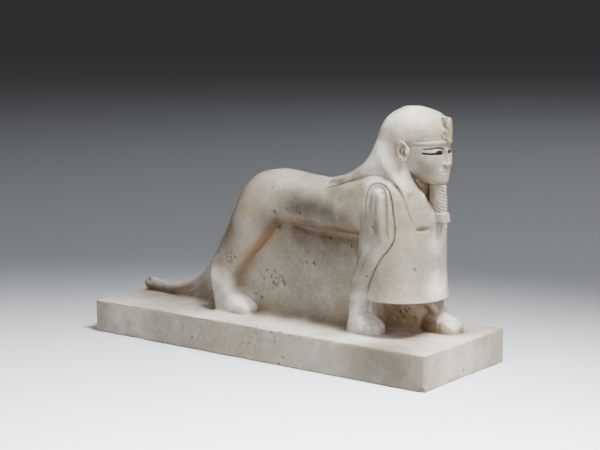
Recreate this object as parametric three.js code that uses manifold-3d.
// Sphinx statue: a striding lion with a king's head, its wall of stone and its plinth, all one limestone block.
// Millimetres. X runs towards the head, Y to the animal's left, Z up. The origin is under the plinth's middle.
import * as THREE from 'three';
import { mergeVertices } from 'three/addons/utils/BufferGeometryUtils.js';
import Module from 'manifold-3d';

const wasm = await Module();
wasm.setup();

// Driving dimensions
const plinthLength = 300;
const plinthWidth = 104;
const plinthHeight = 24.3;
const edgeBevel = 0.8;
const wornCornerRadius = 6;
const bodyTop = 130.4;
const saddleTop = 126.6;
const bellyHeight = 88.4;
const headTop = 179.4;
const shoulderTop = 137.6;
const hemHeight = 50;
const hemHalfWidth = 31.8;
const chestFront = 127.6;
const wallHalfThickness = 13;
const pawHeight = 14.2;
const footDepth = 3;
const leftForelegStride = 43;
const strideStart = 94;
const strideEnd = 37;
const tailRadius = 5;
const loopGrooveWidth = 1.6;
const grooveDepth = 0.9;
const plaitPitch = 2.3;
const earHeight = 12.5;
const browHeight = 152.5;
const noseBaseHeight = 140.5;
const chinHeight = 128.5;
const faceHalfWidth = 16;
const faceFront = 132.6;

// Geometry helpers: superellipse rings lofted into closed skins, and the join to exact solids

// One closed ring of points: reach = [minus u, plus u, minus v, plus v] from the middle, in the plane of u and v.
function ring(middle, u, v, reach, power, count) {
  const points = [];
  for (let i = 0; i < count; i += 1) {
    const turn = (2 * Math.PI * i) / count;
    const along = Math.cos(turn);
    const across = Math.sin(turn);
    const uSize = Math.sign(along) * Math.abs(along) ** (2 / power) * (along < 0 ? reach[0] : reach[1]);
    const vSize = Math.sign(across) * Math.abs(across) ** (2 / power) * (across < 0 ? reach[2] : reach[3]);
    points.push(middle.clone().addScaledVector(u, uSize).addScaledVector(v, vSize));
  }
  return points;
}

// Skins a run of rings and closes both ends with a fan to the ring's middle.
function loft(rings) {
  const count = rings[0].length;
  const positions = [];
  const middleOf = (points) => points.reduce((sum, p) => sum.add(p), new THREE.Vector3()).divideScalar(count);
  const face = (a, b, c) => positions.push(a.x, a.y, a.z, b.x, b.y, b.z, c.x, c.y, c.z);
  for (let r = 0; r < rings.length - 1; r += 1) {
    for (let i = 0; i < count; i += 1) {
      const j = (i + 1) % count;
      face(rings[r][i], rings[r][j], rings[r + 1][j]);
      face(rings[r][i], rings[r + 1][j], rings[r + 1][i]);
    }
  }
  const first = middleOf(rings[0]);
  const last = middleOf(rings.at(-1));
  for (let i = 0; i < count; i += 1) {
    const j = (i + 1) % count;
    face(first, rings[0][j], rings[0][i]);
    face(last, rings.at(-1)[i], rings.at(-1)[j]);
  }
  const geometry = new THREE.BufferGeometry();
  geometry.setAttribute('position', new THREE.Float32BufferAttribute(positions, 3));
  return geometry;
}

// Smooth run through rows of [station, value, value, ...] without overshoot between them.
function smoothRows(rows, steps) {
  const slope = (a, b, k) => (rows[b][k] - rows[a][k]) / (rows[b][0] - rows[a][0]);
  const tangent = (i, k) => {
    if (i === 0) return slope(0, 1, k);
    if (i === rows.length - 1) return slope(i - 1, i, k);
    const before = slope(i - 1, i, k);
    const after = slope(i, i + 1, k);
    return before * after > 0 ? (2 * before * after) / (before + after) : 0;
  };
  const result = [];
  for (let i = 0; i < rows.length - 1; i += 1) {
    const span = rows[i + 1][0] - rows[i][0];
    for (let s = 0; s < steps; s += 1) {
      const t = s / steps;
      result.push(rows[i].map((value, k) => {
        if (k === 0) return value + t * span;
        const rise = rows[i + 1][k] - value;
        const start = tangent(i, k) * span;
        const end = tangent(i + 1, k) * span;
        return value + t * start + t * t * (3 * rise - 2 * start - end) + t * t * t * (start + end - 2 * rise);
      }));
    }
  }
  result.push([...rows.at(-1)]);
  return result;
}

const alongX = new THREE.Vector3(1, 0, 0);
const alongY = new THREE.Vector3(0, 1, 0);
const alongZ = new THREE.Vector3(0, 0, 1);

// Level sections: rows of [z, rear x, front x, right y, left y].
function levelLoft(rows, { steps = 1, count = 16, power = 2, inset = 0 } = {}) {
  return loft(smoothRows(rows, steps).map(([z, rear, front, right, left]) => {
    const middle = new THREE.Vector3((rear + front) / 2, (right + left) / 2, z);
    const halfX = Math.max((front - rear) / 2 - inset, 0.05);
    const halfY = Math.max((left - right) / 2 - inset, 0.05);
    return ring(middle, alongX, alongY, [halfX, halfX, halfY, halfY], power, count);
  }));
}

// Upright sections across the length: rows of [x, bottom z, widest z, top z, right y, left y].
function crossLoft(rows, { steps = 1, count = 16, power = 2, inset = 0 } = {}) {
  return loft(smoothRows(rows, steps).map(([x, bottom, widest, top, right, left]) => {
    const middle = new THREE.Vector3(x, (right + left) / 2, widest);
    const half = Math.max((left - right) / 2 - inset, 0.05);
    const up = Math.max(top - widest - inset, 0.05);
    const down = Math.max(widest - bottom - inset, 0.05);
    return ring(middle, alongY, alongZ, [half, half, down, up], power, count);
  }));
}

// Round rod along a curve: rows of [x, y, z, radius].
function rod(rows, { steps = 3, count = 12 } = {}) {
  const curve = new THREE.CatmullRomCurve3(rows.map(([x, y, z]) => new THREE.Vector3(x, y, z)));
  const total = (rows.length - 1) * steps;
  const radii = smoothRows(rows.map((row, i) => [i, row[3]]), steps);
  const rings = radii.map(([, radius], i) => {
    const t = i / total;
    const tangent = curve.getTangent(t);
    const side = new THREE.Vector3().crossVectors(tangent, alongY).normalize();
    const across = new THREE.Vector3().crossVectors(side, tangent).normalize();
    return ring(curve.getPoint(t), side, across, [radius, radius, radius, radius], 2, count);
  });
  return loft(rings);
}

// Rounded lump: a sphere stretched to three half sizes.
function lump(x, y, z, halfX, halfY, halfZ, sides = 12) {
  return new THREE.SphereGeometry(1, sides, Math.round(sides * 0.6)).scale(halfX, halfY, halfZ).translate(x, y, z);
}

function solid(geometry) {
  const bare = geometry.clone();
  bare.deleteAttribute('normal');
  bare.deleteAttribute('uv');
  const merged = mergeVertices(bare, 1e-5);
  const vertProperties = new Float32Array(merged.attributes.position.array);
  const triVerts = new Uint32Array(merged.index.array);
  const at = (i) => new THREE.Vector3().fromArray(vertProperties, 3 * i);
  let volume = 0;
  for (let i = 0; i < triVerts.length; i += 3) {
    volume += at(triVerts[i]).dot(at(triVerts[i + 1]).cross(at(triVerts[i + 2])));
  }
  if (volume < 0) triVerts.reverse();
  return new wasm.Manifold(new wasm.Mesh({ numProp: 3, vertProperties, triVerts }));
}

const join = (shapes) => shapes.map(solid).reduce((whole, piece) => whole.add(piece));
const mirrored = (rows) => rows.map(([z, rear, front, right, left]) => [z, rear, front, -left, -right]);

const floor = plinthHeight;
const rootHeight = floor - footDepth;

// Plinth: a plain block with softened edges and one worn upright corner at the back right
function plinthBlock() {
  const halfLength = plinthLength / 2 - edgeBevel;
  const halfWidth = plinthWidth / 2 - edgeBevel;
  const outline = new THREE.Shape();
  outline.moveTo(-halfLength + wornCornerRadius, -halfWidth);
  outline.lineTo(halfLength, -halfWidth);
  outline.lineTo(halfLength, halfWidth);
  outline.lineTo(-halfLength, halfWidth);
  outline.lineTo(-halfLength, -halfWidth + wornCornerRadius);
  outline.quadraticCurveTo(-halfLength, -halfWidth, -halfLength + wornCornerRadius, -halfWidth);
  return new THREE.ExtrudeGeometry(outline, {
    depth: plinthHeight - 2 * edgeBevel,
    bevelThickness: edgeBevel,
    bevelSize: edgeBevel,
    bevelSegments: 1,
    curveSegments: 4,
  }).translate(0, 0, edgeBevel);
}

// Wall of stone left between the legs, under the belly and the tail's arch, and beside the front paws
function supportingWall() {
  const face = wallHalfThickness;
  const middle = crossLoft([
    [-108, rootHeight, 24, 26, -1.4, 3.4],
    [-98, rootHeight, 25, 29, -4.2, 5.4],
    [-88, rootHeight, 26, 33, -6.2, 7],
    [-76, rootHeight, 30, 44, -8.6, 8.8],
    [-64, rootHeight, 36, 60, -10.4, 10.4],
    [-53, rootHeight, 50, 77, -11, 11],
    [-44, rootHeight, 60, 90, -face, face],
    [-30, rootHeight, 60, bellyHeight + 8, -face - 0.4, face + 0.4],
    [20, rootHeight, 60, bellyHeight + 8, -face + 0.6, face - 0.6],
    [60, rootHeight, 60, bellyHeight + 8, -face - 1.6, face + 1.6],
    [84, rootHeight, 60, bellyHeight + 8, -face - 1.6, face + 1.6],
  ], { power: 9, count: 20 });
  const foot = levelLoft([
    [rootHeight, -64, 84, -face - 2.4, face + 2.4],
    [floor + 0.6, -63, 83, -face - 1.6, face + 1.6],
    [floor + 3.6, -62, 82, -face, face],
  ], { power: 14 });
  const plan = new THREE.Shape();
  plan.moveTo(74, -2);
  plan.lineTo(90, 0.8);
  plan.quadraticCurveTo(102, 3, 109, 9);
  plan.lineTo(112, 24);
  plan.quadraticCurveTo(102, 14, 74, face + 1);
  plan.closePath();
  const front = new THREE.ExtrudeGeometry(plan, {
    depth: hemHeight + 8 - rootHeight,
    bevelEnabled: false,
    curveSegments: 3,
  }).translate(0, 0, rootHeight);
  return [middle, foot, front];
}

// Barrel of the lion's body from the rump to inside the chest
function barrel(inset) {
  return crossLoft([
    [-45, 92, 97, 103, -4, 4],
    [-41.5, 85, 96, 109, -9.5, 9.5],
    [-36.5, 80, 97, 115, -14.6, 14.6],
    [-29, 78, 99, 121.8, -20, 20],
    [-19, 82, 101, 128, -24.4, 24.4],
    [-4, 88, 104, bodyTop, -26.2, 26.2],
    [5, 90, 106, bodyTop - 0.8, -25.8, 25.8],
    [16, bellyHeight + 2.4, 108, 128, -25, 25],
    [34, bellyHeight + 0.6, 108, saddleTop, -24.6, 24.6],
    [62, bellyHeight, 107, saddleTop, -26, 26],
    [84, bellyHeight, 106, saddleTop, -28, 28],
    [100, bellyHeight, 105, saddleTop - 2, -27, 27],
  ], { power: 2.25, count: 24, inset });
}

// Shoulders: they rise from the back to a hump on each side of the headcloth
function shoulders(inset) {
  return crossLoft([
    [44, 96, 108, 124.6, -20, 20],
    [56, 94, 110, 127.4, -24.6, 24.6],
    [68, 94, 112, 130, -26.8, 26.8],
    [78, 94, 114, 133.6, -28.4, 28.4],
    [89, 96, 116, shoulderTop, -29.4, 29.4],
    [97, 98, 116, shoulderTop - 1.4, -29.2, 29.2],
    [104, 100, 114, 131.4, -28, 28],
    [111, 100, 110, 123, -25, 25],
    [116, 100, 106, 114, -20, 20],
  ], { power: 3.2, count: 24, inset });
}

// Hind leg of the right side, haunch to hock to ankle
const hindLegRows = [
  [rootHeight, -51.5, -30, -27.2, -8],
  [34, -52.3, -32, -27, -8],
  [44, -53.2, -35.2, -27, -8],
  [52, -53.6, -32.4, -27, -8],
  [58, -52.6, -28, -27.2, -7],
  [67, -48.4, -19, -27.8, -6],
  [77, -43, -9, -28.4, -5],
  [87, -38.8, -0.5, -28.6, -4],
  [98, -35, 5, -28, -4],
  [108, -30, 5, -26.2, -4],
  [117, -23.4, 0, -22.4, -4],
  [124, -17, -8, -15, -4],
];

// Foreleg of the right side, ankle to shoulder blade
const forelegRows = [
  [rootHeight, 68, 88, -27.4, -8],
  [37, 67.9, 85.6, -27.4, -8],
  [50, 70.6, 88.6, -28.2, -8],
  [61, 75.2, 94.6, -30.2, -8],
  [71, 78.2, 101, -31.4, -8],
  [83, 80, 108.4, -32, -8],
  [94, 81, 113.6, -32.2, -8],
  [106, 84, 114, -31.8, -8],
  [116, 87.4, 110, -30.4, -8],
  [123, 91, 105, -28.6, -8],
  [127, 95, 101, -26, -8],
];

// The left foreleg leaves the same shoulder and strides forward to show under the hem
function strideAt(z) {
  const share = THREE.MathUtils.clamp((strideStart - z) / (strideStart - strideEnd), 0, 1);
  return leftForelegStride * share ** 1.2;
}

function strideForward(rows) {
  return mirrored(rows).map(([z, rear, front, right, left]) => [
    z, rear + strideAt(z), front + strideAt(z) * 0.93, right, left,
  ]);
}

// A paw with four toes: heel at x, its middle at y
function paw(heel, length, y, halfWidth) {
  const top = floor + pawHeight;
  const pieces = [
    crossLoft([
      [heel, rootHeight, floor + 2, top - 3, y - halfWidth * 0.7, y + halfWidth * 0.7],
      [heel + length * 0.12, rootHeight, floor + 3, top, y - halfWidth * 0.9, y + halfWidth * 0.9],
      [heel + length * 0.5, rootHeight, floor + 3, top - 0.6, y - halfWidth, y + halfWidth],
      [heel + length * 0.8, rootHeight, floor + 3, top - 2.6, y - halfWidth * 0.94, y + halfWidth * 0.94],
      [heel + length * 0.93, rootHeight, floor + 2.4, top - 6.4, y - halfWidth * 0.72, y + halfWidth * 0.72],
    ], { power: 2.6 }),
  ];
  const toes = 4;
  const toeHalf = (halfWidth / toes) * 1.12;
  for (let i = 0; i < toes; i += 1) {
    const side = (i - (toes - 1) / 2) / ((toes - 1) / 2);
    const toeY = y + side * (halfWidth - toeHalf);
    const reach = length - 5.4 - 2.6 * side * side;
    pieces.push(lump(heel + reach, toeY, floor + 4.2, 6.4, toeHalf, 6.6, 7));
  }
  return pieces;
}

// Chest and apron: a bell that hangs from the shoulders to a straight hem
const bellRows = [
  [hemHeight, 76, 130.4, -hemHalfWidth, hemHalfWidth],
  [58, 76, 129.2, -31.5, 31.5],
  [73, 75, chestFront + 0.2, -31, 31],
  [88, 74, chestFront, -30.7, 30.7],
  [104, 73, chestFront + 0.3, -30.5, 30.5],
  [112, 73, 124.6, -30, 30],
  [119, 73, 118.8, -29.2, 29.2],
  [126, 77, 108, -27, 27],
];

// Tail: down the middle of the rump, along the plinth, and a round end
function tail() {
  return rod([
    [-22, 0, 121, tailRadius],
    [-35, 0, 110, tailRadius],
    [-45.5, 0, 95, tailRadius + 0.4],
    [-55, 0, 76, tailRadius + 0.4],
    [-65, 0, 59, tailRadius + 0.2],
    [-75, 0, 46, tailRadius],
    [-88, 0.4, 36.2, tailRadius - 0.2],
    [-104, 1.6, 30, tailRadius - 0.4],
    [-120, 3.2, 28, tailRadius - 0.6],
    [-132, 4.4, 28.6, tailRadius - 0.3],
    [-140, 5, 29.6, tailRadius + 0.6],
    [-146, 5.4, 29.6, tailRadius - 0.6],
    [-149, 5.6, 29.4, tailRadius - 3.2],
  ], { steps: 1, count: 12 });
}

// Headcloth: a smooth dome that spreads to the shoulders and runs out on the back
const headclothRows = [
  [122, 53, 106, -11, 11],
  [127, 46.6, 108, -13, 13],
  [129.4, 48.6, 110, -15.6, 15.6],
  [133.4, 60, 110.6, -20.2, 20.2],
  [137, 68, 111, -23, 23],
  [141.6, 74.6, 111.4, -24.2, 24.2],
  [148, 79.6, 112.4, -23.8, 23.8],
  [154, 81.8, 118, -23.2, 23.2],
  [158, 82.4, 131.6, -23, 23],
  [163.7, 84.2, 133, -22.2, 22.2],
  [169, 87, 131, -20, 20],
  [173.4, 90.6, 127.4, -16.6, 16.6],
  [176.8, 95.6, 121.6, -12, 12],
  [headTop, 102, 112, -5, 5],
];

// Lappets: the headcloth's two front strips, over the chest beside the throat.
// Rows of [z, outer corner x, outer corner y, inner corner x, inner corner y] on the right side.
const lappetRows = [
  [100.4, 119.8, -20.2, 126.6, -9.2],
  [108, 118.8, -20.8, 126.2, -9.4],
  [116, 116.6, -21.8, 124.2, -9.8],
  [122.6, 113, -22.8, 121.2, -10.4],
  [123.6, 112, -23, 118.6, -13.4],
  [132, 101, -24.2, 115.2, -14.4],
  [141, 92, -24.6, 111, -17.4],
  [149, 92, -23.4, 109, -20],
];

function lappet(side) {
  const proud = 1.2;
  const bedded = 9;
  const rings = lappetRows.map(([z, outerX, outerY, innerX, innerY]) => {
    const across = new THREE.Vector3(innerX - outerX, side * (outerY - innerY), 0);
    const half = across.length() / 2;
    across.normalize();
    const outward = new THREE.Vector3(Math.abs(across.y), side * Math.abs(across.x), 0);
    const middle = new THREE.Vector3((outerX + innerX) / 2, (side * -(outerY + innerY)) / 2, z);
    return ring(middle, across, outward, [half, half, bedded, proud], 5, 12);
  });
  return loft(rings);
}

// Head: an oval of calm, even proportions under the headcloth, on a plain neck
function headAndFace() {
  const jawZ = chinHeight;
  const faceMiddle = noseBaseHeight + (browHeight - noseBaseHeight) / 2;
  const skull = levelLoft([
    [jawZ, 116, faceFront - 3, -5.5, 5.5],
    [jawZ + 1, 114, faceFront - 1.4, -7.2, 7.2],
    [jawZ + 3.4, 109, faceFront - 0.8, -9.8, 9.8],
    [jawZ + 7, 103, faceFront - 0.9, -12.6, 12.6],
    [noseBaseHeight, 98, faceFront - 1, -14.8, 14.8],
    [faceMiddle, 95, faceFront - 1.2, -faceHalfWidth, faceHalfWidth],
    [browHeight, 95, faceFront - 0.4, -faceHalfWidth, faceHalfWidth],
    [browHeight + 7, 96, faceFront, -faceHalfWidth + 0.6, faceHalfWidth - 0.6],
  ], { power: 2.2, count: 24 });
  const neck = levelLoft([
    [96, 96, 121.5, -14, 14],
    [112, 98, 120, -12, 12],
    [124, 98, 117.4, -11, 11],
    [136, 98, 120, -12, 12],
  ]);
  const nape = levelLoft([
    [112, 84, 112.4, -16, 16],
    [142, 84, 109, -16, 16],
  ], { count: 12, power: 4 });
  const pieces = [skull, neck, nape];
  const noseBridge = [[noseBaseHeight + 0.2, faceFront - 6, faceFront + 4.4, -2.9, 2.9],
    [noseBaseHeight + 2, faceFront - 6, faceFront + 4, -2.6, 2.6],
    [faceMiddle, faceFront - 6, faceFront + 2.2, -1.9, 1.9],
    [browHeight - 1, faceFront - 6, faceFront + 0.5, -2.2, 2.2]];
  pieces.push(levelLoft(noseBridge, { count: 10 }));
  const mouthHeight = noseBaseHeight - (noseBaseHeight - chinHeight) / 3;
  pieces.push(lump(faceFront - 1.6, 0, mouthHeight + 1, 2.6, 5.2, 1.1, 8));
  pieces.push(lump(faceFront - 1.9, 0, mouthHeight - 1.1, 2.6, 4.4, 1.2, 8));
  pieces.push(lump(faceFront - 3, 0, chinHeight + 3, 3.6, 4.6, 3, 8));
  for (const side of [-1, 1]) {
    pieces.push(lump(faceFront - 4.6, side * 6.4, browHeight - 3.2, 3.2, 3.4, 1.5, 8));
    pieces.push(rod([
      [faceFront - 0.4, side * 2.4, browHeight - 0.3, 0.7],
      [faceFront - 1.4, side * 7, browHeight + 0.9, 0.75],
      [faceFront - 6, side * 12.2, browHeight - 0.2, 0.6],
    ], { count: 6, steps: 2 }));
  }
  return pieces;
}

// Ear: an upright shell with a rolled rim round a shallow hollow
function ear(side) {
  const rim = [];
  const turns = 8;
  const lean = 0.3;
  for (let i = 0; i <= turns; i += 1) {
    const angle = 2.5 - (i / turns) * 4.4;
    const up = Math.sin(angle) * (earHeight / 2 - 1.4);
    const back = Math.cos(angle) * 3.6;
    rim.push([112.6 - back - lean * up, side * 21.6, 151.2 + up, 1.3]);
  }
  const body = lump(112.6, side * 20, 150.8, 4.4, 2, earHeight / 2 - 0.6, 8);
  const lobe = lump(115, side * 21.2, 146, 2, 1.4, 2, 6);
  return [rod(rim, { count: 6, steps: 1 }), body, lobe];
}

// Cobra on the forehead: a flat low body that stands a little out at the top
function cobra() {
  return levelLoft([
    [156.6, 126, 134, -1.6, 1.6],
    [160, 126, 134.4, -2.6, 2.6],
    [165, 126, 135, -3.4, 3.4],
    [169.4, 124, 135.6, -3, 3],
    [172.6, 120, 134.8, -1.6, 1.6],
  ], { power: 3, count: 10 });
}

// Band that closes the headcloth over the forehead
function browBand() {
  return levelLoft([
    [154.6, 94, 133.2, -18.6, 18.6],
    [157.4, 94, 133.3, -19.4, 19.4],
  ], { power: 2.2, count: 24 });
}

// Beard: a plaited bar that steps out along its length, with a plain block at its end
function beard() {
  const top = chinHeight + 0.6;
  const blockTop = 109;
  const bottom = 103.2;
  const plaits = Math.round((top - blockTop) / plaitPitch);
  const downhill = new THREE.Vector3(1, 0, -0.55);
  const rings = [];
  for (let i = 0; i <= plaits * 2; i += 1) {
    const share = i / (plaits * 2);
    const swell = i % 2 === 0 ? 0 : 0.7;
    const middle = new THREE.Vector3(126.4, 0, blockTop - 1 + share * (top - blockTop + 1.6));
    rings.push(ring(middle, downhill, alongY, [5, 6 + swell - share * 0.8, 3.4 + swell, 3.4 + swell], 3.4, 10));
  }
  const block = levelLoft([
    [bottom, 121, 134.4, -4.6, 4.6],
    [blockTop, 121, 133.2, -4.4, 4.4],
  ], { power: 6, count: 12 });
  return [loft(rings), block];
}

// Everything that stands on the plinth, each skin drawn in by the inset
function figure(inset) {
  return join([
    barrel(inset),
    shoulders(inset),
    levelLoft(hindLegRows, { inset, power: 2.3 }),
    levelLoft(mirrored(hindLegRows), { inset, power: 2.3 }),
    levelLoft(forelegRows, { inset, power: 3 }),
    levelLoft(strideForward(forelegRows), { inset, power: 3 }),
    levelLoft(bellRows, { inset, power: 2.05, count: 28 }),
  ]);
}

// Shoulder loop: the line cut round the shoulder blade and down the leg's front edge, through to one side
function shoulderLoop(side) {
  const path = new THREE.CatmullRomCurve3([
    new THREE.Vector3(86.3, 112, 0),
    new THREE.Vector3(87.5, 121.9, 0),
    new THREE.Vector3(95.5, 128, 0),
    new THREE.Vector3(104.7, 123.6, 0),
    new THREE.Vector3(111.7, 107.1, 0),
    new THREE.Vector3(111, 91.7, 0),
    new THREE.Vector3(100.7, 76.6, 0),
    new THREE.Vector3(92.8, 60.3, 0),
    new THREE.Vector3(88.2, 48, 0),
  ]);
  const samples = path.getPoints(14);
  const line = samples.map(({ x, y: z }) => new THREE.Vector2(side < 0 ? x : x + strideAt(z) * 0.95, z));
  const edge = (offset) => line.map((point, i) => {
    const next = line[Math.min(i + 1, line.length - 1)];
    const before = line[Math.max(i - 1, 0)];
    const direction = next.clone().sub(before).normalize();
    return new THREE.Vector2(point.x - direction.y * offset, point.y + direction.x * offset);
  });
  const outline = [...edge(loopGrooveWidth / 2), ...edge(-loopGrooveWidth / 2).reverse()];
  return new THREE.ExtrudeGeometry(new THREE.Shape(outline), { depth: 20, bevelEnabled: false })
    .rotateX(Math.PI / 2)
    .translate(0, side < 0 ? -20 : 40, 0);
}

const grooves = [-1, 1]
  .map((side) => solid(shoulderLoop(side)))
  .reduce((whole, piece) => whole.add(piece))
  .subtract(figure(grooveDepth));

const dressed = join([
  levelLoft(headclothRows, { power: 2.15, count: 28 }),
  lappet(-1),
  lappet(1),
  ...headAndFace(),
  ...ear(-1),
  ...ear(1),
  browBand(),
  cobra(),
  ...beard(),
  tail(),
  ...paw(66, 31, -18.4, 9.6),
  ...paw(107, 32, 17, 10.4),
  ...paw(-52, 37, -18, 10),
  ...paw(-52, 37, 18, 10),
  ...supportingWall(),
]);

const statue = figure(0).subtract(grooves).add(dressed).add(solid(plinthBlock()));

function toGeometry(manifold) {
  const { vertProperties, triVerts } = manifold.getMesh();
  const geometry = new THREE.BufferGeometry();
  geometry.setAttribute('position', new THREE.BufferAttribute(vertProperties, 3));
  geometry.setIndex(new THREE.BufferAttribute(triVerts, 1));
  return geometry;
}

const limestone = new THREE.MeshStandardMaterial({ color: 0xcfc8bb, roughness: 0.78, metalness: 0 });
const sphinx = new THREE.Mesh(toGeometry(statue), limestone);
sphinx.name = 'sphinx_statue';

const part = new THREE.Group();
part.add(sphinx);

export default part;
